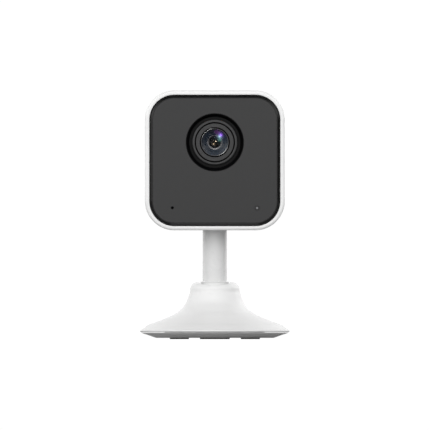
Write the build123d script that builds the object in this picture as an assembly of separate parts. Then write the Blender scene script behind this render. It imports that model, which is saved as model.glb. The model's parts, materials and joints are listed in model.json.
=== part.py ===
from build123d import *
import math
import os

# Desk security camera: square head on a short stem, leaning in a round base.
# Millimetres, +Z up, lens looks along -Y, origin under the base on its axis.

os.makedirs("parts", exist_ok=True)

# ---- head ----
HEAD = 63.0            # outer width and height
HEAD_R = 13.3          # outer corner radius
HEAD_Z = 80.46         # height of the head's centre
WALL = 2.0
FRONT_Y = -19.0        # front edge of the white shell
PART_Y = 7.0           # parting plane of front shell and rear cover
REAR_Y = 13.0          # outside of the rear wall
REAR_FILLET = 4.5
PANEL_W, PANEL_H, PANEL_R = 58.8, 59.0, 11.2
PANEL_Z = 80.36
PANEL_Y = -19.7        # front face of the dark panel
PANEL_T = 2.0
PANEL_EDGE = 1.25      # bevel around the panel
PANEL_GROOVE = 0.28    # fine groove between the bevel and the face
BOSS = 22.5            # housing screws, from the head's centre
# ---- lens ----
LENS_Z = 88.54
CONE_RO, CONE_RI = 13.1, 10.2
RING_RI = 8.85
BARREL_RO = 8.6
GLASS_R = 6.3
# ---- stem and ball ----
STEM_R = 5.5
STEM_Z0 = 25.25
STEM_Z1 = 56.5
STEM_RING_R = 6.4
BALL_R = 8.0
NECK_R = 6.2
BALL_Z = 19.0
SEAT_R = 8.05
# ---- base ----
RIM_R = 33.6
COLLAR_R = 11.1
COLLAR_TOP = 25.6
SLOT_R = 6.8           # half width of the rear slot in the collar
PLATE_R, PLATE_Z0, PLATE_Z1 = 23.0, 3.6, 5.2
HUB_R, HUB_CLEAR = 6.0, 0.05
FOOT_R, FOOT_W, FOOT_ARC = 19.05, 3.8, 29.2
# ---- moving pieces inside the head ----
IRCUT_TRAVEL = 6.6
IRCUT_ARM = 6.0
RESET_X, RESET_Z = 13.0, 62.5
RESET_TRAVEL = 0.4
MIC_X, MIC_Z = -19.1, 59.1
LED_X, LED_Z = 19.0, 59.0
USB_Z = 62.5
SPK_Z = 92.0


def zcyl(r, z0, z1, x=0.0, y=0.0):
    return Pos(x, y, (z0 + z1) / 2) * Cylinder(r, z1 - z0)


def ycyl(r, y0, y1, x=0.0, z=0.0):
    return Pos(x, (y0 + y1) / 2, z) * Rot(90, 0, 0) * Cylinder(r, y1 - y0)


def xcyl(r, x0, x1, y=0.0, z=0.0):
    return Pos((x0 + x1) / 2, y, z) * Rot(0, 90, 0) * Cylinder(r, x1 - x0)


def block(x0, x1, y0, y1, z0, z1):
    return Pos((x0 + x1) / 2, (y0 + y1) / 2, (z0 + z1) / 2) * Box(x1 - x0, y1 - y0, z1 - z0)


def yplate(w, h, r, y0, y1, x=0.0, z=0.0):
    """Rounded rectangle w (X) by h (Z), from y0 to y1."""
    pl = Plane(origin=(x, y1, z), x_dir=(1, 0, 0), z_dir=(0, -1, 0))
    return extrude(pl * RectangleRounded(w, h, r), amount=y1 - y0)


def turned_z(pts):
    """Solid of revolution about Z from (radius, z) points."""
    wire = Polyline(*[(p[0], 0, p[1]) for p in pts], close=True)
    return revolve(make_face(wire.edges()), axis=Axis.Z)


def turned_y(pts, z=0.0, x=0.0):
    """Solid of revolution about a Y axis at (x, z) from (radius, y) points."""
    wire = Polyline(*[(x + p[0], p[1], z) for p in pts], close=True)
    return revolve(make_face(wire.edges()), axis=Axis((x, 0, z), (0, 1, 0)))


def near_y(shape, y, tol=0.02):
    """Edges lying wholly in the plane Y = y."""
    return [e for e in shape.edges()
            if abs(e.bounding_box().min.Y - y) < tol and abs(e.bounding_box().max.Y - y) < tol]


def near_z(shape, z, tol=0.02):
    return [e for e in shape.edges()
            if abs(e.bounding_box().min.Z - z) < tol and abs(e.bounding_box().max.Z - z) < tol]


def group(items):
    return Compound(children=[i if isinstance(i, Solid) else i.solids()[0] for i in items])


def save(shape, name):
    sol = shape.solids()
    if isinstance(shape, Compound) and len(sol) == 1:
        shape = sol[0]
    export_step(shape, "parts/%s.step" % name)


def lens(r_edge, y_vertex, bulge, y_back, back_dip, z=LENS_Z):
    """Round element: convex front (vertex at y_vertex), back face hollowed by back_dip."""
    rf = (r_edge ** 2 + bulge ** 2) / (2 * bulge)
    n = 14
    pts = []
    for i in range(n + 1):
        r = r_edge * i / n
        pts.append((r, y_vertex + rf - math.sqrt(rf * rf - r * r)))
    if back_dip > 0:
        rb = r_edge * 0.78
        rr = (rb ** 2 + back_dip ** 2) / (2 * back_dip)
        back = [(r_edge, y_back)]
        for i in range(n, -1, -1):
            r = rb * i / n
            back.append((r, y_back - back_dip + rr - math.sqrt(rr * rr - r * r)))
        # arcs instead of facets
        front = ThreePointArc((0, y_vertex, z), (pts[n // 2][0], pts[n // 2][1], z),
                              (r_edge, y_vertex + bulge, z))
        l1 = Line((r_edge, y_vertex + bulge, z), (r_edge, y_back, z))
        l2 = Line((r_edge, y_back, z), (rb, y_back, z))
        mid = back[1 + n // 2]
        arc = ThreePointArc((rb, y_back, z), (mid[0], mid[1], z), (0, y_back - back_dip, z))
        l3 = Line((0, y_back - back_dip, z), (0, y_vertex, z))
        face = make_face([front, l1, l2, arc, l3])
    else:
        front = ThreePointArc((0, y_vertex, z), (pts[n // 2][0], pts[n // 2][1], z),
                              (r_edge, y_vertex + bulge, z))
        l1 = Line((r_edge, y_vertex + bulge, z), (r_edge, y_back, z))
        l2 = Line((r_edge, y_back, z), (0, y_back, z))
        l3 = Line((0, y_back, z), (0, y_vertex, z))
        face = make_face([front, l1, l2, l3])
    return revolve(face, axis=Axis((0, 0, z), (0, 1, 0)))


def screw_z(x, y, z_seat, head_r, head_h, shank_r, length, up=True):
    """Screw along Z. The head seats at z_seat; with up the shank points up."""
    if up:
        s = zcyl(head_r, z_seat - head_h, z_seat, x, y) + zcyl(shank_r, z_seat, z_seat + length, x, y)
        s = chamfer(near_z(s, z_seat - head_h), head_h * 0.3)
        s -= Pos(x, y, z_seat - head_h) * Box(head_r * 1.1, 0.35, head_h * 0.9)
        s -= Pos(x, y, z_seat - head_h) * Box(0.35, head_r * 1.1, head_h * 0.9)
    else:
        s = zcyl(head_r, z_seat, z_seat + head_h, x, y) + zcyl(shank_r, z_seat - length, z_seat, x, y)
        s = chamfer(near_z(s, z_seat + head_h), head_h * 0.3)
        s -= Pos(x, y, z_seat + head_h) * Box(head_r * 1.1, 0.35, head_h * 0.9)
        s -= Pos(x, y, z_seat + head_h) * Box(0.35, head_r * 1.1, head_h * 0.9)
    return s


def screw_y(x, z, y_seat, head_r, head_h, shank_r, length):
    """Screw driven from the rear: head behind y_seat (towards +Y), shank towards -Y."""
    s = ycyl(head_r, y_seat, y_seat + head_h, x, z) + ycyl(shank_r, y_seat - length, y_seat, x, z)
    s = chamfer(near_y(s, y_seat + head_h), head_h * 0.3)
    s -= Pos(x, y_seat + head_h, z) * Box(head_r * 1.1, head_h * 0.9, 0.35)
    s -= Pos(x, y_seat + head_h, z) * Box(0.35, head_h * 0.9, head_r * 1.1)
    return s


CORNERS = [(sx * BOSS, HEAD_Z + sz * BOSS, sx, sz) for sx in (-1, 1) for sz in (-1, 1)]

# ======================= base, fixed part =======================
# Bottom cover: shallow dish with a central hub that the bell turns on.
dish = turned_z([(0, 0.55), (26.4, 0.55), (28.1, 1.1), (29.2, 1.5), (30.6, 2.0), (32.1, 2.4),
                 (33.05, 2.85), (33.05, 3.0), (HUB_R, 3.0), (HUB_R, 5.4), (0, 5.4)])
dish -= turned_z([(9.0, 1.4), (16.0, 1.4), (16.0, 3.2), (9.0, 3.2)])          # magnet pocket
dish -= turned_z([(18.5, 2.55), (22.5, 2.55), (22.5, 3.2), (18.5, 3.2)])      # glide ring groove
dish -= zcyl(1.25, 1.6, 5.6)
feet = []
for i in range(6):
    a0 = -90 - FOOT_ARC / 2 + 60 * i
    mid = CenterArc((0, 0), FOOT_R, a0, FOOT_ARC)
    sk = SlotArc(mid, FOOT_W)
    dish -= Pos(0, 0, 0.5) * extrude(sk, amount=0.55)
    ft = extrude(sk, amount=1.05)
    ft = fillet(near_z(ft, 0.0), 0.22)
    feet.append(ft)
save(dish, "bottom_cover")
save(group(feet), "rubber_feet")
save(turned_z([(9.1, 1.4), (15.9, 1.4), (15.9, 2.95), (9.1, 2.95)]), "base_magnet")
save(turned_z([(18.55, 2.55), (22.45, 2.55), (22.45, 3.55), (18.55, 3.55)]), "glide_ring")
save(turned_z([(1.6, 5.4), (8.2, 5.4), (8.2, 6.0), (1.6, 6.0)]), "hub_washer")
save(screw_z(0, 0, 6.0, 2.7, 1.3, 1.2, 4.2, up=False), "hub_screw")

# ======================= base, turning part =======================
# Bell: flared shell rising into a collar, with a ball seat inside.
bell_outer = Spline((33.35, 0, 4.15), (30.5, 0, 6.05), (26.6, 0, 7.6), (22.6, 0, 9.15),
                    (19.2, 0, 10.6), (16.6, 0, 12.1), (14.6, 0, 13.95), (13.15, 0, 16.0),
                    (12.2, 0, 18.2), (11.5, 0, 20.4), (COLLAR_R, 0, 22.7),
                    tangents=[(-1.0, 0, 0.42), (-0.02, 0, 1.0)])
c45 = 3.2 * math.sin(math.radians(45))
bell_edges = [
    ThreePointArc((33.35, 0, 3.2), (RIM_R, 0, 3.72), (33.35, 0, 4.15)),
    bell_outer,
    ThreePointArc((COLLAR_R, 0, 22.7), (7.9 + c45 - 0.04, 0, 22.4 + c45), (7.9, 0, COLLAR_TOP)),
    Line((7.9, 0, COLLAR_TOP), (7.5, 0, COLLAR_TOP)),
    Line((7.5, 0, COLLAR_TOP), (7.2, 0, 25.2)),
    Line((7.2, 0, 25.2), (7.2, 0, 17.4)),
    Line((7.2, 0, 17.4), (9.75, 0, 17.4)),
    Line((9.75, 0, 17.4), (9.75, 0, 9.4)),
    Line((9.75, 0, 9.4), (17.2, 0, 9.4)),
    Spline((17.2, 0, 9.4), (20.6, 0, 8.05), (24.5, 0, 6.5), (28.5, 0, 4.95), (31.3, 0, 3.75)),
    Line((31.3, 0, 3.75), (31.9, 0, 3.2)),
    Line((31.9, 0, 3.2), (33.35, 0, 3.2)),
]
bell = revolve(make_face(bell_edges), axis=Axis.Z)
for a in (90, 210, 330):
    x, y = 19 * math.cos(math.radians(a)), 19 * math.sin(math.radians(a))
    bell += zcyl(2.6, PLATE_Z1, 9.0, x, y)
bell -= Pos(0, 0, BALL_Z) * Sphere(SEAT_R)
slot = block(-SLOT_R, SLOT_R, 4, 40, BALL_Z, 32) + ycyl(SLOT_R, 4, 40, 0, BALL_Z)
bell -= slot
bell -= block(-SLOT_R, SLOT_R, 0, 8, 17.4, 32)
dip_r = 19.8
bell -= ycyl(dip_r, -14, 0, 0, 24.0 + dip_r)                                   # shallow front dip
for a in (90, 210, 330):
    x, y = 19 * math.cos(math.radians(a)), 19 * math.sin(math.radians(a))
    bell -= zcyl(0.9, PLATE_Z1 - 0.1, 8.4, x, y)
for a in (30, 150, 270):
    x, y = 13.5 * math.cos(math.radians(a)), 13.5 * math.sin(math.radians(a))
    bell -= zcyl(0.95, 9.0, 12.4, x, y)
save(bell, "base_shell")

plate = turned_z([(HUB_R + HUB_CLEAR, PLATE_Z0), (PLATE_R, PLATE_Z0), (PLATE_R, PLATE_Z1),
                  (HUB_R + HUB_CLEAR, PLATE_Z1)])
pscrews = []
for a in (90, 210, 330):
    x, y = 19 * math.cos(math.radians(a)), 19 * math.sin(math.radians(a))
    plate -= zcyl(1.2, PLATE_Z0 - 0.1, PLATE_Z1 + 0.1, x, y)
    plate -= zcyl(2.1, PLATE_Z0 - 0.1, PLATE_Z0 + 0.9, x, y)
    pscrews.append(screw_z(x, y, PLATE_Z0 + 0.9, 2.0, 0.85, 0.9, 3.6, up=True))
save(plate, "base_plate")
save(group(pscrews), "plate_screws")

cup = zcyl(9.65, 10.7, 17.2) - Pos(0, 0, BALL_Z) * Sphere(SEAT_R) - zcyl(3.5, 10, 18) - slot
save(cup, "friction_cup")
save(turned_z([(4.6, 9.95), (9.2, 9.3), (9.3, 9.75), (4.7, 10.4), (4.6, 10.4)]) +
     turned_z([(4.6, 10.05), (5.6, 9.95), (5.6, 10.7), (4.6, 10.7)]), "disc_spring")
retainer = turned_z([(3.5, 8.1), (15.6, 8.1), (15.6, 9.3), (3.5, 9.3)])
rscrews = []
for a in (30, 150, 270):
    x, y = 13.5 * math.cos(math.radians(a)), 13.5 * math.sin(math.radians(a))
    retainer -= zcyl(1.15, 8.0, 9.4, x, y)
    rscrews.append(screw_z(x, y, 8.1, 1.9, 1.2, 0.95, 4.0, up=True))
save(retainer, "spring_retainer")
save(group(rscrews), "retainer_screws")

# ======================= ball, stem =======================
ball = (Pos(0, 0, BALL_Z) * Sphere(BALL_R)) & block(-9, 9, -9, 9, 0, STEM_Z0)
ball = ball + zcyl(NECK_R, BALL_Z, STEM_Z0) + zcyl(3.45, BALL_Z, 33.0)
save(ball, "ball")
stem = turned_z([(3.5, STEM_Z0), (STEM_RING_R - 0.12, STEM_Z0), (STEM_RING_R, STEM_Z0 + 0.12),
                 (STEM_RING_R, 25.8), (STEM_RING_R - 0.15, 25.95), (STEM_R, 25.95),
                 (STEM_R, STEM_Z1), (3.5, STEM_Z1)])
stem -= xcyl(1.0, -8, 8, 0, 54.0)
save(stem, "stem")

# ======================= head housing =======================
shell = yplate(HEAD, HEAD, HEAD_R, FRONT_Y, PART_Y, 0, HEAD_Z)
shell = fillet(near_y(shell, FRONT_Y), 1.15)
shell = chamfer(near_y(shell, PART_Y), 0.22)
shell -= yplate(PANEL_W + 0.1, PANEL_H + 0.1, PANEL_R + 0.05, FRONT_Y - 1, -17.4, 0, PANEL_Z)
inner_rim = [e for e in near_y(shell, FRONT_Y)
             if e.bounding_box().max.X < PANEL_W / 2 + 0.2 and e.bounding_box().min.X > -PANEL_W / 2 - 0.2]
shell = fillet(inner_rim, 0.3)
shell -= yplate(55.4, 55.6, 9.5, -17.5, -15.9, 0, PANEL_Z)
shell -= yplate(HEAD - 2 * WALL, HEAD - 2 * WALL, HEAD_R - WALL, -16.0, PART_Y + 1, 0, HEAD_Z)
for x, z, sx, sz in CORNERS:
    y0 = -15.0 if sz > 0 else -11.6
    shell += ycyl(3.2, y0, 3.0, x, z)
    web = Pos(x + sx * 2.3, (y0 + 3) / 2, z + sz * 2.3) * Rot(0, -45 * sx * sz, 0) * Box(5.6, 3 - y0, 2.4)
    shell += web
for x, z, sx, sz in CORNERS:
    shell -= ycyl(0.9, -7.0, 3.1, x, z)
shell -= zcyl(STEM_R + 0.03, 45, 53)
for sx in (-1, 1):
    shell += zcyl(2.4, 50.5, 53.5, sx * 10.5, 0)
    shell -= zcyl(0.85, 50.2, 53.6, sx * 10.5, 0)
shell -= block(28, 33, 4.3, 5.7, 68.0, 80.2)                                    # card slot in the side wall
save(shell, "front_shell")

panel = yplate(PANEL_W, PANEL_H, PANEL_R, PANEL_Y, PANEL_Y + PANEL_T, 0, PANEL_Z)
panel = chamfer(near_y(panel, PANEL_Y), PANEL_EDGE)
gi = 2 * PANEL_EDGE + 0.1
panel -= (yplate(PANEL_W - gi, PANEL_H - gi, PANEL_R - gi / 2, PANEL_Y - 1, PANEL_Y + 0.4, 0, PANEL_Z)
          - yplate(PANEL_W - gi - 2 * PANEL_GROOVE, PANEL_H - gi - 2 * PANEL_GROOVE, PANEL_R - gi / 2 - PANEL_GROOVE,
                   PANEL_Y - 2, PANEL_Y + 1, 0, PANEL_Z))
panel -= ycyl(CONE_RO, PANEL_Y - 1, -17, 0, LENS_Z)
panel -= ycyl(0.65, PANEL_Y - 1, -17, MIC_X, MIC_Z)
panel -= ycyl(1.1, PANEL_Y - 1, -17, LED_X, LED_Z)
for x, z, y1, r in ((-12, 60, -13.5, 2.0), (12, 60, -13.5, 2.0),
                    (-15, 73, -15.2, 2.0), (15, 73, -15.2, 2.0),
                    (-17, LENS_Z, -13.0, 2.4), (17, LENS_Z, -13.0, 2.4)):
    panel += ycyl(r, -17.8, y1, x, z)
    panel -= ycyl(0.8, max(y1 - 3.2, -17.6), y1 + 0.1, x, z)
save(panel, "front_panel")
gasket = yplate(58.0, 58.2, 10.8, -17.7, -17.4, 0, PANEL_Z) - yplate(55.6, 55.8, 9.6, -18, -17, 0, PANEL_Z)
save(gasket, "panel_gasket")

rear = yplate(HEAD, HEAD, HEAD_R, PART_Y, REAR_Y, 0, HEAD_Z)
rear = fillet(near_y(rear, REAR_Y), REAR_FILLET)
rear = chamfer(near_y(rear, PART_Y), 0.22)
cav = yplate(HEAD - 2 * WALL, HEAD - 2 * WALL, HEAD_R - WALL, PART_Y - 1, REAR_Y - WALL, 0, HEAD_Z)
cav = fillet(near_y(cav, REAR_Y - WALL), 2.5)
rear -= cav
lip = yplate(58.8, 58.8, 11.2, 6.0, PART_Y + 0.2, 0, HEAD_Z) - yplate(56.6, 56.6, 10.1, 5.0, 9.0, 0, HEAD_Z)
rear += lip
rear += yplate(59.4, 59.4, 11.5, PART_Y, PART_Y + 1.2, 0, HEAD_Z) - yplate(56.6, 56.6, 10.1, 5.0, 9.0, 0, HEAD_Z)
for x, z, sx, sz in CORNERS:
    rear += ycyl(3.2, 4.2, 11.5, x, z)
for x, z, sx, sz in CORNERS:
    rear -= ycyl(2.15, 9.4, 14, x, z)
    rear -= ycyl(1.15, 4.0, 14, x, z)
# speaker grille: round field of small holes
pitch = 2.3
for j in range(-4, 5):
    for i in range(-4, 5):
        gx = (i + (0.5 if j % 2 else 0.0)) * pitch
        gz = j * pitch * math.sqrt(3) / 2
        if math.hypot(gx, gz) < 7.6:
            rear -= ycyl(0.6, 10.5, 14, gx, SPK_Z + gz)
rear += ycyl(12.6, 8.0, 11.2, 0, SPK_Z) - ycyl(11.3, 7.0, 11.0, 0, SPK_Z) - ycyl(7.7, 7, 14, 0, SPK_Z)
rear -= yplate(9.4, 4.4, 1.4, 10.5, 14, 0, USB_Z)                               # power inlet recess
rear -= ycyl(2.1, 10.5, 14, RESET_X, RESET_Z)
save(rear, "rear_cover")
save(group([screw_y(x, z, 9.4, 2.0, 1.4, 0.9, 9.0) for x, z, sx, sz in CORNERS]), "housing_screws")

# ======================= stem fixing =======================
clamp = block(-7.6, 7.6, -7.4, 5.6, 50.96, 57.2) + block(-13.0, 13.0, -4.0, 4.0, 53.5, 55.4)
clamp -= zcyl(STEM_R + 0.03, 50, 58)
clamp -= xcyl(1.0, -10, 10, 0, 54.0)
for sx in (-1, 1):
    clamp -= zcyl(1.15, 53, 56, sx * 10.5, 0)
save(clamp, "stem_clamp")
save(xcyl(1.0, -7.4, 7.4, 0, 54.0), "stem_pin")
save(group([screw_z(sx * 10.5, 0, 55.4, 1.9, 1.2, 0.85, 4.6, up=False) for sx in (-1, 1)]), "clamp_screws")

# ======================= boards =======================
board = yplate(57.0, 57.0, 10.6, 3.0, 4.2, 0, HEAD_Z) - block(-14, 14, 2, 6, 40, 58.8)
for x, z, sx, sz in CORNERS:
    board -= ycyl(1.15, 2, 6, x, z)
save(board, "main_board")
save(yplate(12, 12, 0.4, 4.2, 5.3, -9, 76), "processor")
save(chamfer(near_y(yplate(15, 12, 0.5, 4.2, 6.1, 12, 77), 6.1), 0.3), "wifi_shield")
usb = yplate(7.8, 3.0, 0.9, 4.2, 12.3, 0, USB_Z) - yplate(6.9, 2.0, 0.6, 6.5, 13, 0, USB_Z)
usb += block(-2.2, 2.2, 6.4, 11.6, USB_Z + 0.05, USB_Z + 0.6)
usb += block(-4.6, 4.6, 4.2, 5.4, USB_Z - 1.6, USB_Z + 1.6)
save(usb, "usb_port")
sd = block(20.4, 29.0, 4.2, 5.9, 66.8, 81.2) - block(21.0, 29.5, 4.5, 5.6, 68.4, 79.8)
save(sd, "card_socket")
save(block(RESET_X - 1.9, RESET_X + 1.9, 4.2, 5.6, RESET_Z - 1.7, RESET_Z + 1.7)
     - ycyl(1.05, 4.9, 5.7, RESET_X, RESET_Z), "reset_switch")
spk = ycyl(10.4, 6.6, 10.5, 0, SPK_Z)
spk = chamfer(near_y(spk, 6.6), 0.6)
spk -= turned_y([(0, 10.6), (8.2, 10.6), (8.2, 10.2), (4.2, 9.7), (3.4, 10.0), (0, 10.3)], SPK_Z)
save(spk, "speaker")
save(turned_y([(8.4, 10.5), (10.6, 10.5), (10.6, 11.0), (8.4, 11.0)], SPK_Z), "speaker_gasket")
save(block(-29.45, -29.1, -9, 2.0, 68, 98), "wifi_antenna")

sboard = yplate(30, 30, 1.0, -2.0, -0.8, 0, LENS_Z + 1.5)
save(sboard, "sensor_board")
save(block(-5.2, 5.2, -3.5, -2.0, LENS_Z - 4.5, LENS_Z + 4.5), "image_sensor")
save(block(-7, 7, -0.8, 3.0, LENS_Z - 9.6, LENS_Z - 6.4), "board_connector")

# ======================= lens =======================
# Deep black trough between the panel's hole and the lens ring.
save(turned_y([(CONE_RI + 0.05, -16.1), (CONE_RI + 1.3, -16.1), (CONE_RO - 0.3, -19.62), (CONE_RO - 0.05, -19.62),
               (CONE_RO - 0.05, -17.7), (CONE_RO + 1.2, -17.7), (CONE_RO + 1.2, -16.4), (CONE_RO - 0.1, -16.4),
               (CONE_RO - 0.1, -15.4), (CONE_RI + 0.05, -15.4)], LENS_Z), "lens_cone")
save(turned_y([(RING_RI, -17.75), (CONE_RI - 0.25, -17.75), (CONE_RI, -17.5), (CONE_RI, -14.6),
               (RING_RI, -14.6)], LENS_Z), "lens_ring")
barrel = turned_y([(GLASS_R + 0.12, -17.0), (GLASS_R + 0.55, -17.9), (BARREL_RO - 0.2, -17.9), (BARREL_RO, -17.7),
                   (BARREL_RO, -14.7), (6.0, -14.7), (6.0, -8.6), (5.0, -8.6), (5.0, -15.25),
                   (GLASS_R + 0.12, -15.25)], LENS_Z)
save(barrel, "lens_barrel")
save(lens(GLASS_R, -18.6, 1.75, -15.3, 1.2), "front_element")
save(turned_y([(2.5, -14.95), (3.2, -15.2), (4.98, -15.2), (4.98, -14.3), (2.5, -14.3)], LENS_Z), "lens_baffle")
save(lens(4.9, -14.2, 0.9, -12.95, 0), "middle_element")
save(turned_y([(3.6, -12.85), (4.95, -12.85), (4.95, -11.4), (3.6, -11.4)], LENS_Z), "lens_spacer")
save(lens(4.9, -11.3, 0.8, -9.0, 0), "rear_element")

holder = turned_y([(6.05, -14.4), (8.2, -14.4), (8.2, -7.4), (6.05, -7.4)], LENS_Z)
hbox = block(-13.5, 13.5, -8.6, -2.0, LENS_Z - 8.5, LENS_Z + 15.5)
hbox -= block(-12.2, 12.2, -7.5, -1.0, LENS_Z - 7.0, LENS_Z + 14.2)
hbox -= ycyl(6.05, -9, -7, 0, LENS_Z)
holder += hbox
holder += block(-19.6, 19.6, -13.0, -11.6, LENS_Z - 3, LENS_Z + 3) - ycyl(6.05, -14, -11, 0, LENS_Z)
holder += block(-12.3, 12.3, -6.2, -4.0, LENS_Z - 7.1, LENS_Z - 4.32)                 # rail under the filter carriage
holder += block(-12.3, 12.3, -7.6, -5.65, LENS_Z - 7.1, LENS_Z - 3.7)
holder += ycyl(0.5, -7.6, -5.75, 0, LENS_Z + 5.2 + IRCUT_ARM)                 # pivot of the filter lever
for sx in (-1, 1):
    holder -= ycyl(1.15, -14, -11, sx * 17, LENS_Z)
save(holder, "lens_holder")
save(block(-8, -2.2, -12.4, -8.6, LENS_Z + 9.0, LENS_Z + 14.6)
     + block(2.2, 8, -12.4, -8.6, LENS_Z + 9.0, LENS_Z + 14.6)
     + block(-8, 8, -11.4, -9.6, LENS_Z + 12.8, LENS_Z + 14.2), "filter_coil")

# Filter carriage: slides along X behind the lens; at rest the infrared-blocking window is on the axis.
X0 = IRCUT_TRAVEL / 2
carr = block(-X0 - 7.4, -X0 + 7.4, -5.5, -4.5, LENS_Z - 4.2, LENS_Z + 4.2)
carr += block(-X0 - 2.4, -X0 + 2.4, -5.5, -4.5, LENS_Z + 4.0, LENS_Z + 7.4)
glass = []
for s in (-1, 1):
    cx = -X0 + s * X0
    carr -= block(cx - 2.9, cx + 2.9, -6, -4, LENS_Z - 3.4, LENS_Z + 3.2)
    glass.append(block(cx - 2.88, cx + 2.88, -5.3, -4.7, LENS_Z - 3.38, LENS_Z + 3.18))
ang0 = math.asin(X0 / IRCUT_ARM)
PIV_Z = LENS_Z + 5.2 + IRCUT_ARM
pin_z = PIV_Z - IRCUT_ARM * math.cos(ang0)
carr -= block(-X0 - 0.75, -X0 + 0.75, -6, -4, LENS_Z + 4.4, LENS_Z + 7.0)
save(carr, "filter_carriage")
save(group(glass), "filter_windows")
arm = ycyl(1.7, -7.2, -5.75, 0, PIV_Z)
arm += Pos(0, -6.3, PIV_Z) * Rot(0, math.degrees(ang0), 0) * Pos(0, 0, -IRCUT_ARM / 2) * Box(1.4, 0.9, IRCUT_ARM)
arm += ycyl(0.55, -6.7, -4.7, -X0, pin_z)
arm -= ycyl(0.56, -8, -5, 0, PIV_Z)
save(arm, "filter_lever")

# ======================= front boards and what they carry =======================
save(yplate(46, 9.5, 1.0, -13.5, -12.5, 0, 60.2) - ycyl(1.1, -14, -12, -12, 60) - ycyl(1.1, -14, -12, 12, 60), "io_board")
save(block(MIC_X - 1.8, MIC_X + 1.8, -14.6, -13.5, MIC_Z - 1.4, MIC_Z + 1.4), "microphone")
save(turned_y([(0.65, -17.7), (1.8, -17.7), (1.8, -14.6), (0.65, -14.6)], MIC_Z, MIC_X), "mic_gasket")
save(block(LED_X - 1.0, LED_X + 1.0, -14.2, -13.5, LED_Z - 0.8, LED_Z + 0.8), "status_led")
pipe = ycyl(1.05, -19.55, -14.3, LED_X, LED_Z) + ycyl(1.9, -17.7, -17.0, LED_X, LED_Z)
save(pipe, "light_pipe")
irb = yplate(36, 9, 1.0, -15.2, -14.2, 0, 73)
for sx in (-1, 1):
    irb -= ycyl(1.1, -16, -14, sx * 15, 73)
save(irb, "ir_board")
irl = []
for sx in (-1, 1):
    d = block(sx * 8 - 1.75, sx * 8 + 1.75, -16.2, -15.2, 71.25, 74.75)
    d += Pos(sx * 8, -16.2, 73) * Sphere(1.3)
    d = d & block(sx * 8 - 3, sx * 8 + 3, -18, -15.2, 70, 76)
    irl.append(d)
save(group(irl), "ir_leds")
save(group([screw_y(-12, 60, -12.5, 1.7, 1.0, 0.8, 3.6), screw_y(12, 60, -12.5, 1.7, 1.0, 0.8, 3.6),
            screw_y(-15, 73, -14.2, 1.7, 1.0, 0.8, 3.0), screw_y(15, 73, -14.2, 1.7, 1.0, 0.8, 3.0)]), "board_screws")
save(group([screw_y(sx * 17, LENS_Z, -11.6, 1.9, 1.1, 0.8, 4.2) for sx in (-1, 1)]), "holder_screws")

# ======================= reset button =======================
btn = ycyl(2.0, 10.6, 12.75, RESET_X, RESET_Z)
btn = fillet(near_y(btn, 12.75), 0.3)
btn += ycyl(2.9, 9.8, 10.6, RESET_X, RESET_Z)
btn += ycyl(1.3, 6.4, 9.8, RESET_X, RESET_Z)
save(btn, "reset_button")
save(ycyl(1.0, 5.35, 6.4, RESET_X, RESET_Z), "switch_plunger")
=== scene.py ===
import bpy, bmesh, json, math
from mathutils import Matrix, Vector


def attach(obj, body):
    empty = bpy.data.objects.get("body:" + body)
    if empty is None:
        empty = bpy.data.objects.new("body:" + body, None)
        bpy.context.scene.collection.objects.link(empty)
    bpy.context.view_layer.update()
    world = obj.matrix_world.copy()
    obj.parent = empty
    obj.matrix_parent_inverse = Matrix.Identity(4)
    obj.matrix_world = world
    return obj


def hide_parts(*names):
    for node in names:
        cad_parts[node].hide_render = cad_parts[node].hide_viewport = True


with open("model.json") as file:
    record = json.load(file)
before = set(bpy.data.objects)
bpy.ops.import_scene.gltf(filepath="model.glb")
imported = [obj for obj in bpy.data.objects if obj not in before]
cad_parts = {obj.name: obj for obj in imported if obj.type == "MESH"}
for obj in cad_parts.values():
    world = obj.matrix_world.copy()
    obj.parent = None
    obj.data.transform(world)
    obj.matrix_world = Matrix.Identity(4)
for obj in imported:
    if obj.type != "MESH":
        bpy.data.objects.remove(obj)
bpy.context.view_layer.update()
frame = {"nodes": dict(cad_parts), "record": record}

NODES = frame["nodes"]
MM = 0.001


# ------------------------------------------------------------------ camera
# The photograph looks straight at the front, level, from far away.
cam_data = bpy.data.cameras.new("camera")
cam_data.type = "ORTHO"
cam_data.ortho_scale = 0.1935
cam_data.clip_start, cam_data.clip_end = 0.01, 20.0
cam = bpy.data.objects.new("camera", cam_data)
bpy.context.scene.collection.objects.link(cam)
cam.location = (0.00007, -1.2, 0.05584)
cam.rotation_euler = (math.radians(90), 0, 0)
bpy.context.scene.camera = cam

scene = bpy.context.scene
scene.view_settings.view_transform = "Standard"
scene.view_settings.look = "None"
scene.view_settings.exposure = 0.0
scene.view_settings.gamma = 1.0


# ------------------------------------------------------------------ materials
def new_mat(name):
    m = bpy.data.materials.new(name)
    m.use_nodes = True
    nt = m.node_tree
    nt.nodes.clear()
    out = nt.nodes.new("ShaderNodeOutputMaterial")
    b = nt.nodes.new("ShaderNodeBsdfPrincipled")
    nt.links.new(b.outputs[0], out.inputs[0])
    return m, nt, b


def coords(nt):
    return nt.nodes.new("ShaderNodeTexCoord").outputs["Object"]


def scaled(nt, vec, s, rot=(0, 0, 0)):
    n = nt.nodes.new("ShaderNodeMapping")
    n.inputs["Scale"].default_value = s if isinstance(s, tuple) else (s, s, s)
    n.inputs["Rotation"].default_value = rot
    nt.links.new(vec, n.inputs["Vector"])
    return n.outputs[0]


def noise(nt, vec, size_mm, detail=3.0, rough=0.55):
    n = nt.nodes.new("ShaderNodeTexNoise")
    n.inputs["Scale"].default_value = 1000.0 / size_mm
    n.inputs["Detail"].default_value = detail
    n.inputs["Roughness"].default_value = rough
    nt.links.new(vec, n.inputs["Vector"])
    return n.outputs["Fac"]


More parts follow.
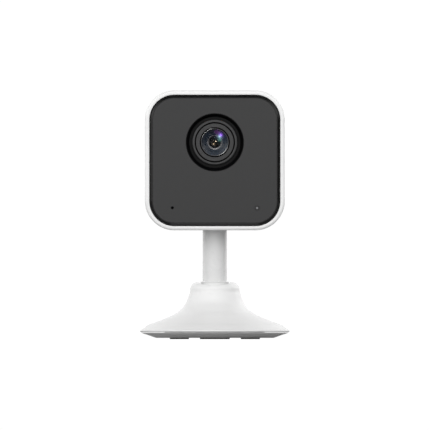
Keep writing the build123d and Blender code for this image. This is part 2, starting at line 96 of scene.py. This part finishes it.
def math_node(nt, op, a, b=None, clamp=False):
    n = nt.nodes.new("ShaderNodeMath")
    n.operation = op
    n.use_clamp = clamp
    for i, v in enumerate((a, b)):
        if v is None:
            continue
        if isinstance(v, (int, float)):
            n.inputs[i].default_value = v
        else:
            nt.links.new(v, n.inputs[i])
    return n.outputs[0]


def map_range(nt, v, a, b, c, d, smooth=False):
    n = nt.nodes.new("ShaderNodeMapRange")
    if smooth:
        n.interpolation_type = "SMOOTHSTEP"
    nt.links.new(v, n.inputs["Value"])
    for k, x in zip(("From Min", "From Max", "To Min", "To Max"), (a, b, c, d)):
        n.inputs[k].default_value = x
    return n.outputs["Result"]


def mix_col(nt, fac, c1, c2):
    n = nt.nodes.new("ShaderNodeMix")
    n.data_type = "RGBA"
    if isinstance(fac, (int, float)):
        n.inputs[0].default_value = fac
    else:
        nt.links.new(fac, n.inputs[0])
    for i, c in ((6, c1), (7, c2)):
        if isinstance(c, tuple):
            n.inputs[i].default_value = (*c[:3], 1)
        else:
            nt.links.new(c, n.inputs[i])
    return n.outputs[2]


def ramp(nt, v, stops, mode="LINEAR"):
    n = nt.nodes.new("ShaderNodeValToRGB")
    n.color_ramp.interpolation = mode
    el = n.color_ramp.elements
    while len(el) < len(stops):
        el.new(0.5)
    for e, (p, c) in zip(el, stops):
        e.position = p
        e.color = (*c[:3], 1)
    nt.links.new(v, n.inputs["Fac"])
    return n.outputs["Color"]


def bump(nt, b, height, dist_mm, strength, chain=None):
    n = nt.nodes.new("ShaderNodeBump")
    n.inputs["Strength"].default_value = strength
    n.inputs["Distance"].default_value = dist_mm * MM
    nt.links.new(height, n.inputs["Height"])
    if chain is not None:
        nt.links.new(chain, n.inputs["Normal"])
    nt.links.new(n.outputs[0], b.inputs["Normal"])
    return n.outputs[0]


def shade(col, k):
    return tuple(min(1.0, c * k) for c in col)


def surface(name, col, rough, vary=0.03, rvar=0.05, grain_mm=0.35, grain=0.15, depth_mm=0.01,
            blotch_mm=14.0, metallic=0.0, spec=0.5, coat=0.0, coat_rough=0.1, stretch=None, sheen=0.0):
    """Moulded, painted or plated surface: fine grain in the bump, slow drift in colour and gloss."""
    m, nt, b = new_mat(name)
    v = coords(nt)
    slow = noise(nt, v, blotch_mm, 2.0)
    fine = noise(nt, scaled(nt, v, stretch) if stretch else v, grain_mm, 4.0, 0.6)
    mid = noise(nt, v, blotch_mm / 6.0, 3.0)
    drift = math_node(nt, "ADD", math_node(nt, "MULTIPLY", slow, 0.6), math_node(nt, "MULTIPLY", mid, 0.4))
    nt.links.new(mix_col(nt, map_range(nt, drift, 0.3, 0.7, 0, 1), shade(col, 1 - vary), shade(col, 1 + vary)),
                 b.inputs["Base Color"])
    rr = math_node(nt, "ADD", math_node(nt, "MULTIPLY", drift, 0.7), math_node(nt, "MULTIPLY", fine, 0.3))
    nt.links.new(map_range(nt, rr, 0.3, 0.7, max(0.02, rough - rvar), min(1, rough + rvar)), b.inputs["Roughness"])
    bump(nt, b, fine, depth_mm, grain)
    b.inputs["Metallic"].default_value = metallic
    b.inputs["Specular IOR Level"].default_value = spec
    b.inputs["Coat Weight"].default_value = coat
    b.inputs["Coat Roughness"].default_value = coat_rough
    b.inputs["Sheen Weight"].default_value = sheen
    return m


MATS = {}
MATS["white_plastic"] = surface("white_plastic", (0.84, 0.84, 0.838), 0.30, vary=0.005, rvar=0.03,
                                grain_mm=0.30, grain=0.08, depth_mm=0.005, blotch_mm=20, spec=0.5,
                                coat=0.6, coat_rough=0.14)
# The frame, the rear cover and the stem are one white plastic given lit and shaded copies: painted light makes the
# frame lighter, and painted shade makes the stem darker where the head shades it.
WHITE = dict(vary=0.005, rvar=0.03, grain_mm=0.30, grain=0.08, depth_mm=0.005, blotch_mm=20, spec=0.5,
             coat=0.6, coat_rough=0.14)
LIT_AND_SHADED_WHITES = {"front_shell": surface("white_head_painted_light", (0.935, 0.935, 0.933), 0.30, **WHITE),
          "rear_cover": surface("white_rear", (0.88, 0.88, 0.878), 0.30, **WHITE),
          "stem": surface("white_stem_painted_shade", (0.745, 0.745, 0.743), 0.28, **{**WHITE, "coat": 1.0})}
MATS["panel_dark"] = surface("panel_dark", (0.032, 0.032, 0.0326), 0.14, vary=0.03, rvar=0.02,
                             grain_mm=0.16, grain=0.05, depth_mm=0.004, blotch_mm=18, spec=0.32)
# Painted shade: only the panel's flat face keeps its grey, while the bevel and the fine groove around it, a crease that
# falls in shade, are coloured near-black.
pnt = MATS["panel_dark"].node_tree
pb = next(n for n in pnt.nodes if n.type == "BSDF_PRINCIPLED")
grey = pb.inputs["Base Color"].links[0].from_socket
psep = pnt.nodes.new("ShaderNodeSeparateXYZ")
pnt.links.new(coords(pnt), psep.inputs[0])
pnt.links.new(mix_col(pnt, map_range(pnt, psep.outputs[1], -0.01968, -0.01962, 0.0, 1.0), grey, (0.004, 0.004, 0.004)),
              pb.inputs["Base Color"])
MATS["lens_black"] = surface("lens_black", (0.0025, 0.0025, 0.0028), 0.34, vary=0.1, rvar=0.05,
                             grain_mm=0.2, grain=0.2, depth_mm=0.004, blotch_mm=9, spec=0.12)
MATS["lens_grey"] = surface("lens_grey", (0.045, 0.045, 0.047), 0.38, vary=0.05, rvar=0.05,
                            grain_mm=0.12, grain=0.3, depth_mm=0.008, blotch_mm=5, metallic=0.0, spec=0.55)
MATS["black_plastic"] = surface("black_plastic", (0.012, 0.012, 0.013), 0.5, vary=0.08, grain_mm=0.25, grain=0.4)
MATS["base_grey"] = surface("base_grey", (0.86, 0.86, 0.858), 0.42, sheen=0.8, vary=0.03, grain_mm=0.3, grain=0.35, depth_mm=0.012)
MATS["foot_rubber"] = surface("foot_rubber", (0.018, 0.018, 0.018), 0.72, vary=0.12, rvar=0.08, grain_mm=0.22,
                              grain=0.6, depth_mm=0.02, blotch_mm=5)
MATS["seal_foam"] = surface("seal_foam", (0.014, 0.014, 0.014), 0.9, vary=0.2, grain_mm=0.15, grain=0.8, depth_mm=0.03)
MATS["steel"] = surface("steel", (0.56, 0.56, 0.57), 0.3, vary=0.06, rvar=0.12, grain_mm=0.35, grain=0.25,
                        depth_mm=0.006, metallic=1.0, stretch=(1, 1, 0.08), blotch_mm=6)
MATS["magnet"] = surface("magnet", (0.62, 0.61, 0.58), 0.22, vary=0.05, rvar=0.1, grain_mm=0.4, grain=0.2, metallic=1.0)
MATS["glide_white"] = surface("glide_white", (0.75, 0.75, 0.72), 0.42, vary=0.03)
MATS["cup_plastic"] = surface("cup_plastic", (0.66, 0.65, 0.60), 0.45, vary=0.03)
MATS["chip_black"] = surface("chip_black", (0.022, 0.022, 0.023), 0.5, vary=0.1, grain_mm=0.12, grain=0.6)
MATS["shield_metal"] = surface("shield_metal", (0.66, 0.66, 0.65), 0.28, vary=0.04, rvar=0.1, metallic=1.0,
                               stretch=(0.1, 1, 1), blotch_mm=5)
MATS["port_metal"] = surface("port_metal", (0.62, 0.62, 0.62), 0.2, vary=0.05, rvar=0.08, metallic=1.0, blotch_mm=3)
MATS["copper_flex"] = surface("copper_flex", (0.36, 0.18, 0.05), 0.35, vary=0.15, rvar=0.1, blotch_mm=4)
MATS["speaker_frame"] = surface("speaker_frame", (0.035, 0.034, 0.033), 0.7, vary=0.2, grain_mm=0.4, grain=0.7)
MATS["coil_copper"] = surface("coil_copper", (0.62, 0.25, 0.10), 0.32, vary=0.15, metallic=1.0, grain_mm=0.2,
                              grain=0.8, stretch=(0.1, 1, 1))
MATS["led_clear"] = surface("led_clear", (0.62, 0.60, 0.48), 0.14, vary=0.08, blotch_mm=1.5)
MATS["sensor_black"] = surface("sensor_black", (0.010, 0.010, 0.022), 0.08, vary=0.3, blotch_mm=2)


def board_material(name):
    """Solder mask with copper tracks, vias and small pads."""
    m, nt, b = new_mat(name)
    v = coords(nt)
    flat = scaled(nt, v, (1.0, 0.0, 1.0))
    brick = nt.nodes.new("ShaderNodeTexBrick")
    brick.inputs["Scale"].default_value = 260.0
    brick.inputs["Mortar Size"].default_value = 0.06
    brick.inputs["Color1"].default_value = (0, 0, 0, 1)
    brick.inputs["Color2"].default_value = (0, 0, 0, 1)
    brick.inputs["Mortar"].default_value = (1, 1, 1, 1)
    swz = nt.nodes.new("ShaderNodeSeparateXYZ")
    cmb = nt.nodes.new("ShaderNodeCombineXYZ")
    nt.links.new(v, swz.inputs[0])
    nt.links.new(swz.outputs[0], cmb.inputs[0])
    nt.links.new(swz.outputs[2], cmb.inputs[1])
    nt.links.new(cmb.outputs[0], brick.inputs["Vector"])
    vor = nt.nodes.new("ShaderNodeTexVoronoi")
    vor.inputs["Scale"].default_value = 420.0
    nt.links.new(flat, vor.inputs["Vector"])
    pad = map_range(nt, vor.outputs["Distance"], 0.10, 0.16, 1.0, 0.0)
    mask = mix_col(nt, noise(nt, v, 9.0), (0.008, 0.075, 0.028), (0.014, 0.11, 0.042))
    traced = mix_col(nt, math_node(nt, "MULTIPLY", brick.outputs["Fac"], 0.6), mask, (0.03, 0.19, 0.07))
    nt.links.new(mix_col(nt, pad, traced, (0.72, 0.60, 0.34)), b.inputs["Base Color"])
    nt.links.new(pad, b.inputs["Metallic"])
    nt.links.new(map_range(nt, noise(nt, v, 0.6), 0.3, 0.7, 0.26, 0.40), b.inputs["Roughness"])
    h = math_node(nt, "ADD", brick.outputs["Fac"], pad)
    bump(nt, b, h, 0.03, 0.5)
    return m


MATS["board_green"] = board_material("board_green")


def glass_material(name, tint, ior=1.52, rough=0.0, spec_tint=(1, 1, 1)):
    m, nt, b = new_mat(name)
    v = coords(nt)
    b.inputs["Transmission Weight"].default_value = 1.0
    b.inputs["IOR"].default_value = ior
    b.inputs["Specular Tint"].default_value = (*spec_tint, 1)
    slow = noise(nt, v, 6.0, 2.0)
    nt.links.new(mix_col(nt, slow, shade(tint, 0.97), tint), b.inputs["Base Color"])
    nt.links.new(map_range(nt, noise(nt, v, 2.0, 3.0), 0.3, 0.8, rough, rough + 0.02), b.inputs["Roughness"])
    return m


MATS["lens_glass"] = glass_material("lens_glass", (0.80, 0.88, 1.0), spec_tint=(0.55, 0.45, 1.0))
MATS["clear_pipe"] = glass_material("clear_pipe", (0.85, 0.87, 0.88), 1.49, 0.15)

# Status light: a frosted light pipe behind a small hole, with painted shade: its colour runs from a light core to a
# near-black rim, where the hole's edge shades it.
LED_AXIS = (0.0190, 0.0590)


def pipe_material():
    m, nt, b = new_mat("pipe_frosted")
    v = coords(nt)
    sp = nt.nodes.new("ShaderNodeSeparateXYZ")
    nt.links.new(v, sp.inputs[0])
    dx = math_node(nt, "SUBTRACT", sp.outputs[0], LED_AXIS[0])
    dz = math_node(nt, "SUBTRACT", sp.outputs[2], LED_AXIS[1])
    d = math_node(nt, "SQRT", math_node(nt, "ADD", math_node(nt, "MULTIPLY", dx, dx), math_node(nt, "MULTIPLY", dz, dz)))
    d = math_node(nt, "ADD", d, math_node(nt, "MULTIPLY", math_node(nt, "SUBTRACT", noise(nt, v, 0.4), 0.5), 0.0001))
    # Painted shade: the colour falls from the light core to near-black at the rim.
    nt.links.new(ramp(nt, map_range(nt, d, 0.0, 0.0011, 0.0, 1.0), [
        (0.0, (0.24, 0.24, 0.25)), (0.36, (0.20, 0.20, 0.21)), (0.52, (0.020, 0.020, 0.021)), (1.0, (0.006, 0.006, 0.006))]),
        b.inputs["Base Color"])
    nt.links.new(map_range(nt, noise(nt, v, 0.3, 3.0), 0.3, 0.7, 0.25, 0.40), b.inputs["Roughness"])
    bump(nt, b, noise(nt, v, 0.12, 3.0), 0.006, 0.3)
    b.inputs["Coat Weight"].default_value = 0.0
    b.inputs["Specular IOR Level"].default_value = 0.3
    return m


# The gasket is black foam. The microphone itself is also coloured near-black, as painted shade for the hole in front of
# it.
MIC_HOLE_SHADE = surface("mic_hole_painted_shade", (0.002, 0.002, 0.002), 0.8, vary=0.3, grain_mm=0.08, grain=0.8, depth_mm=0.02,
                    blotch_mm=1, spec=0.05)
OWN = {"light_pipe": pipe_material(), "microphone": MIC_HOLE_SHADE, "mic_gasket": MIC_HOLE_SHADE}

SLOT_OF = {s["node"]: s["material_slot"] for s in frame["record"]["subparts"]}
for name, obj in NODES.items():
    m = LIT_AND_SHADED_WHITES.get(name) or OWN.get(name) or MATS.get(SLOT_OF[name], MATS["black_plastic"])
    if not obj.data.materials:
        obj.data.materials.append(m)
    for i in range(len(obj.data.materials)):
        obj.data.materials[i] = m

# ------------------------------------------------------------------ mesh helpers
def arc_corners(pts, steps=6):
    """Closed profile of (a, b) or (a, b, radius) points; corners with a radius become arcs."""
    out = []
    n = len(pts)
    for i, p in enumerate(pts):
        r = p[2] if len(p) > 2 else 0.0
        c = Vector((p[0], p[1]))
        if r <= 0:
            out.append((c.x, c.y))
            continue
        u = Vector(pts[i - 1][:2]) - c
        v = Vector(pts[(i + 1) % n][:2]) - c
        u.normalize()
        v.normalize()
        half = u.angle(v) / 2
        t = r / math.tan(half)
        mid = c + (u + v).normalized() * (r / math.sin(half))
        a, b = c + u * t - mid, c + v * t - mid
        out.append(tuple(c + u * (t + 0.03)))
        for k in range(steps + 1):
            w = a.slerp(b, k / steps, a) * r
            out.append((mid.x + w.x, mid.y + w.y))
        out.append(tuple(c + v * (t + 0.03)))
    return out


def finish_mesh(bm, name, mat, body, sharp=38.0):
    bmesh.ops.remove_doubles(bm, verts=bm.verts, dist=1e-7)
    bmesh.ops.recalc_face_normals(bm, faces=bm.faces)
    for f in bm.faces:
        f.smooth = True
    me = bpy.data.meshes.new(name)
    bm.to_mesh(me)
    bm.free()
    me.set_sharp_from_angle(angle=math.radians(sharp))
    ob = bpy.data.objects.new(name, me)
    bpy.context.scene.collection.objects.link(ob)
    me.materials.append(mat)
    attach(ob, body)
    return ob


def revolve(name, prof, mat, body, centre, seg=128, sharp=38.0):
    """Closed (radius, y) profile in millimetres turned about the Y axis through centre = (x, z) in metres."""
    bm = bmesh.new()
    rings = []
    for r, y in prof:
        if r < 1e-6:
            rings.append([bm.verts.new((centre[0], y * MM, centre[1]))])
        else:
            rings.append([bm.verts.new((centre[0] + r * MM * math.cos(2 * math.pi * k / seg), y * MM,
                                        centre[1] + r * MM * math.sin(2 * math.pi * k / seg))) for k in range(seg)])
    for i, a in enumerate(rings):
        b = rings[(i + 1) % len(rings)]
        if len(a) == 1 and len(b) == 1:
            continue
        for k in range(seg):
            q = (k + 1) % seg
            if len(a) == 1:
                bm.faces.new((a[0], b[k], b[q]))
            elif len(b) == 1:
                bm.faces.new((a[k], b[0], a[q]))
            else:
                bm.faces.new((a[k], b[k], b[q], a[q]))
    return finish_mesh(bm, name, mat, body, sharp)


def cap(radius, edge_y, bulge, n=20):
    """Points of a spherical cap from its edge (radius, edge_y) to its vertex, bulging towards -Y."""
    big = (radius * radius + bulge * bulge) / (2 * abs(bulge))
    sgn = 1 if bulge > 0 else -1
    cy = edge_y - bulge + sgn * big
    th = math.asin(min(1.0, radius / big))
    return [(big * math.sin(th * (n - k) / n), cy - sgn * big * math.cos(th * (n - k) / n)) for k in range(n + 1)]


# ------------------------------------------------------------------ lens
LENS = (0.0, 0.08854)


def coated(name, tint, weight, rough, edge=0.0):
    """Anti-reflection coated glass: almost clear, with a faint tinted mirror that grows towards the rim."""
    m, nt, b = new_mat(name)
    v = coords(nt)
    b.inputs["Metallic"].default_value = 1.0
    slow = noise(nt, v, 5.0, 2.0)
    nt.links.new(mix_col(nt, slow, shade(tint, 0.9), tint), b.inputs["Base Color"])
    nt.links.new(map_range(nt, noise(nt, v, 1.5, 3.0), 0.3, 0.7, rough * 0.85, rough * 1.15), b.inputs["Roughness"])
    if edge > 0:
        lw = nt.nodes.new("ShaderNodeLayerWeight")
        lw.inputs["Blend"].default_value = 0.3
        nt.links.new(map_range(nt, lw.outputs["Facing"], 0.55, 1.0, weight, edge, smooth=True), b.inputs["Alpha"])
    else:
        b.inputs["Alpha"].default_value = weight
    return m


LENS_MATS = {
    "front_glass": coated("front_glass", (0.95, 0.95, 1.0), 0.003, 0.24, edge=0.10),
    "glass_clear": coated("glass_clear", (0.95, 0.95, 1.0), 0.0, 0.10),
    "inner_glass": coated("inner_glass", (1.0, 0.86, 0.70), 0.002, 0.15),
    "well": surface("lens_well", (0.006, 0.013, 0.024), 0.30, vary=0.2, rvar=0.06, grain_mm=0.15, grain=0.10,
                    depth_mm=0.004, blotch_mm=2.5, spec=0.36),
    "bevel": surface("lens_bevel", (0.070, 0.070, 0.074), 0.32, vary=0.06, rvar=0.05, grain_mm=0.12, grain=0.2,
                     depth_mm=0.004, blotch_mm=2.0, spec=0.5),
    "pupil": surface("lens_pupil", (0.0012, 0.0016, 0.0022), 0.4, vary=0.3, rvar=0.05, grain_mm=0.3, grain=0.1,
                     blotch_mm=2.0, spec=0.08),
    "retainer": surface("lens_retainer", (0.012, 0.012, 0.013), 0.17, vary=0.05, rvar=0.04, grain_mm=0.2, grain=0.1,
                        depth_mm=0.003, blotch_mm=2.0, spec=0.5),
}
MATS["lens_grey"] = surface("lens_grey", (0.026, 0.026, 0.027), 0.36, vary=0.05, rvar=0.05,
                            grain_mm=0.12, grain=0.3, depth_mm=0.008, blotch_mm=5, spec=0.5)
MATS["groove"] = surface("groove_painted_shade", (0.0015, 0.0015, 0.0016), 0.6, vary=0.2, grain_mm=0.2, grain=0.2,
                         depth_mm=0.004, blotch_mm=4, spec=0.0)

ring = revolve("focus_ring", arc_corners([(9.06, -14.6), (9.06, -17.75, 0.10), (10.2, -17.75, 0.45), (10.2, -14.6)]),
               MATS["lens_grey"], "head", LENS)
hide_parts("lens_ring")
barrel = revolve("barrel_body", arc_corners([
    (8.50, -14.7), (8.50, -17.9, 0.10), (6.76, -17.9, 0.10), (6.76, -16.7), (6.36, -16.7), (6.36, -15.25), (5.0, -15.25),
    (5.0, -8.6), (6.0, -8.6), (6.0, -14.7)]), MATS["lens_grey"], "head", LENS)
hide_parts("lens_barrel")
# Painted shade: near-black rings fill the bottoms of the gaps between the focus ring, the barrel and the glass
# retainer, where those gaps are in shade.
for tag, r0, r1, y in (("outer_groove", 8.51, 9.05, -17.1), ("inner_groove", 6.24, 6.75, -17.0)):
    groove_shade_ring = revolve(tag, [(r0, y), (r1, y), (r1, y + 0.3), (r0, y + 0.3)], MATS["groove"], "head", LENS)
retainer = revolve("glass_retainer", arc_corners([(6.23, -16.0), (6.23, -17.5, 0.13), (5.93, -17.5, 0.13), (5.93, -16.0)], 8),
                   LENS_MATS["retainer"], "head", LENS, sharp=60)
dome = cap(5.92, -17.05, 1.53, 28)
front_glass = revolve("front_glass", dome + [(0.0, -16.35), (4.2, -16.15), (5.92, -15.8)], LENS_MATS["front_glass"],
                      "head", LENS)
# The coating mirrors only on the outer face; the rim and the back of the element stay clear.
front_glass.data.materials.append(LENS_MATS["glass_clear"])
for poly in front_glass.data.polygons:
    if poly.center.y > -17.0 * MM:
        poly.material_index = 1
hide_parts("front_element")
well = revolve("lens_well", arc_corners([(5.92, -15.6), (5.92, -15.95), (4.45, -15.30, 0.15), (4.32, -15.12, 0.1),
                                         (3.36, -14.62), (3.36, -14.5), (5.0, -14.4), (5.0, -15.2)]),
               LENS_MATS["well"], "head", LENS)
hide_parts("lens_baffle")
bevel = revolve("pupil_bevel", arc_corners([(3.35, -14.2), (3.35, -14.78, 0.08), (3.12, -14.78, 0.08), (2.62, -14.0),
                                            (2.62, -13.9), (3.35, -13.9)], 4), LENS_MATS["bevel"], "head", LENS)
pupil = revolve("pupil_well", [(2.61, -13.98), (2.61, -12.5), (0.0, -12.3), (0.0, -12.2), (3.3, -12.2), (3.3, -13.88),
                               (2.62, -13.88)], LENS_MATS["pupil"], "head", LENS)
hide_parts("middle_element")
inner = revolve("inner_glass", cap(1.7, -13.62, 0.42, 14) + [(0.0, -13.3), (1.7, -13.4)],
                LENS_MATS["inner_glass"], "head", LENS)
dish = revolve("inner_dish", cap(1.5, -12.95, -0.36, 14) + [(0.0, -12.5), (1.5, -12.88)],
               LENS_MATS["inner_glass"], "head", LENS)


# ------------------------------------------------------------------ stage and light
bm = bmesh.new()
bmesh.ops.create_circle(bm, cap_ends=True, cap_tris=False, segments=96, radius=2.5)
me = bpy.data.meshes.new("floor")
bm.to_mesh(me)
bm.free()
floor = bpy.data.objects.new("floor", me)
floor.location = (0, 0, -0.00002)
scene.collection.objects.link(floor)
floor_mat = surface("floor_pale", (0.74, 0.74, 0.74), 0.65, vary=0.004, rvar=0.05, grain_mm=3.0, grain=0.05,
                    depth_mm=0.05, blotch_mm=400, spec=0.2)
# The floor is pale to look at, and gives back only part of the light, as a small sheet on a dark table would.
ft = floor_mat.node_tree
seen = ft.nodes.new("ShaderNodeLightPath").outputs["Is Camera Ray"]
dim = ft.nodes.new("ShaderNodeBsdfDiffuse")
dim.inputs["Color"].default_value = (0.30, 0.30, 0.30, 1)
pick = ft.nodes.new("ShaderNodeMixShader")
shown = next(n for n in ft.nodes if n.type == "BSDF_PRINCIPLED")
ft.links.new(seen, pick.inputs[0])
ft.links.new(dim.outputs[0], pick.inputs[1])
ft.links.new(shown.outputs[0], pick.inputs[2])
# From below the floor is clear, so that the underside can be seen through it.
side = ft.nodes.new("ShaderNodeNewGeometry").outputs["Backfacing"]
clear = ft.nodes.new("ShaderNodeBsdfTransparent")
sides = ft.nodes.new("ShaderNodeMixShader")
ft.links.new(math_node(ft, "MULTIPLY", side, seen), sides.inputs[0])
ft.links.new(pick.outputs[0], sides.inputs[1])
ft.links.new(clear.outputs[0], sides.inputs[2])
ft.links.new(sides.outputs[0], next(n for n in ft.nodes if n.type == "OUTPUT_MATERIAL").inputs[0])
me.materials.append(floor_mat)

world = bpy.data.worlds.new("studio")
scene.world = world
world.use_nodes = True
wt = world.node_tree
wt.nodes.clear()
wout = wt.nodes.new("ShaderNodeOutputWorld")
tc = wt.nodes.new("ShaderNodeTexCoord")
sep = wt.nodes.new("ShaderNodeSeparateXYZ")
wt.links.new(tc.outputs["Generated"], sep.inputs[0])
azim = math_node(wt, "ARCTAN2", sep.outputs[0], math_node(wt, "MULTIPLY", sep.outputs[1], -1.0))
turn = map_range(wt, azim, -math.pi, math.pi, 0.0, 1.0)
elev = math_node(wt, "ARCSINE", sep.outputs[2])
# Radiance of the studio every 20 degrees of azimuth from -160 to 180 (0 is the front, positive to the viewer's
# right), at five heights: a broad light in front and to the left, a softer one at the right rear, dark overhead.
STUDIO = {
    0: (1.3, 1.35, 1.5, 1.2, 0.95, 1.25, 1.95, 2.25, 1.7, 1.7, 1.05, 0.5, 0, 0, 1.35, 1.6, 1.45, 1.25),
    20: (1.4, 1.2, 1.5, 1.85, 2.1, 2.6, 3.15, 3.5, 3.45, 3.2, 2.6, 2.05, 1.65, 1.85, 2.25, 2.1, 1.65, 1.1),
    40: (1.25, 1, 0.8, 0.9, 1, 1.3, 1.6, 1.95, 2.05, 1.8, 1.35, 1.05, 0.95, 1.25, 1.6, 1.75, 1.25, 0.6),
    60: (0.35, 0.4, 0.3, 0.15, 0, 0, 0, 0.05, 0.1, 0.05, 0, 0, 0.05, 0.4, 0.65, 0.75, 0.45, 0.2),
    80: (0.05, 0.1, 0.15, 0.1, 0, 0, 0, 0, 0, 0, 0, 0, 0, 0.2, 0.3, 0.3, 0.15, 0.05),
}
sky = None
for height, row in STUDIO.items():
    vals = [row[-1]] + list(row)
    band = ramp(wt, turn, [(i / 18.0, (q / 4.0,) * 3) for i, q in enumerate(vals)])
    away = math_node(wt, "ABSOLUTE", math_node(wt, "SUBTRACT", elev, math.radians(height)))
    share = map_range(wt, away, 0.0, math.radians(20), 4.0, 0.0)
    part = math_node(wt, "MULTIPLY", band, share)
    sky = part if sky is None else math_node(wt, "ADD", sky, part)
bg_light = wt.nodes.new("ShaderNodeBackground")
wt.links.new(sky, bg_light.inputs["Strength"])
bg_seen = wt.nodes.new("ShaderNodeBackground")
bg_seen.inputs["Strength"].default_value = 1.02
# Level and upward looks see the white backdrop, downward looks see the floor carry on past its edge.
wt.links.new(mix_col(wt, map_range(wt, sep.outputs[2], -0.012, -0.004, 0.0, 1.0), (0.63, 0.63, 0.63), (1.0, 1.0, 1.0)),
             bg_seen.inputs["Color"])
lp = wt.nodes.new("ShaderNodeLightPath")
mx = wt.nodes.new("ShaderNodeMixShader")
wt.links.new(lp.outputs["Is Camera Ray"], mx.inputs[0])
wt.links.new(bg_light.outputs[0], mx.inputs[1])
wt.links.new(bg_seen.outputs[0], mx.inputs[2])
wt.links.new(mx.outputs[0], wout.inputs[0])


def softbox(name, azimuth, elevation, dist, width, height, radiance, color=(1, 1, 1)):
    """Rectangular light aimed at the object. Azimuth is from the front, positive to the viewer's right."""
    a, e = math.radians(azimuth), math.radians(elevation)
    target = Vector((0, 0, 0.06))
    loc = target + dist * Vector((math.sin(a) * math.cos(e), -math.cos(a) * math.cos(e), math.sin(e)))
    d = bpy.data.lights.new(name, "AREA")
    d.shape = "RECTANGLE"
    d.size, d.size_y = width, height
    d.energy = radiance * width * height * math.pi
    d.color = color
    o = bpy.data.objects.new(name, d)
    scene.collection.objects.link(o)
    o.location = loc
    o.rotation_euler = (target - loc).to_track_quat("-Z", "Y").to_euler()
    return o


def glint(name, azimuth, elevation, size, radiance, color, *pieces):
    """Small lamp that only the lens elements catch, for the reflections in their coating."""
    o = softbox(name, azimuth, elevation, 1.6, size, size, radiance, color)
    group = bpy.data.collections.new(name)
    for p in pieces:
        group.objects.link(p)
    o.light_linking.receiver_collection = group
    return o


glint("glint_violet", 27.9, 30.8, 0.20, 1200, (0.40, 0.12, 1.0), front_glass)
glint("glint_white", 21.5, 25.0, 0.12, 1750, (0.55, 1.0, 1.0), front_glass)
glint("glint_green", 20.8, 13.3, 0.25, 150, (0.33, 1.0, 0.80), front_glass)
glint("glint_rim", 13.9, 45.2, 0.50, 27, (0.80, 0.10, 1.0), front_glass)
glint("glint_warm", 11.5, 16.5, 0.36, 900, (1.0, 0.90, 0.78), inner)
glint("glint_amber", 11.5, 16.5, 0.30, 420, (1.0, 0.86, 0.66), dish)
glint("glint_crescent", 4, 66, 0.8, 42.0, (1.0, 1.0, 1.0), bevel)
glint("glint_arc", -42, 38, 1.2, 44, (1.0, 1.0, 1.0), retainer)
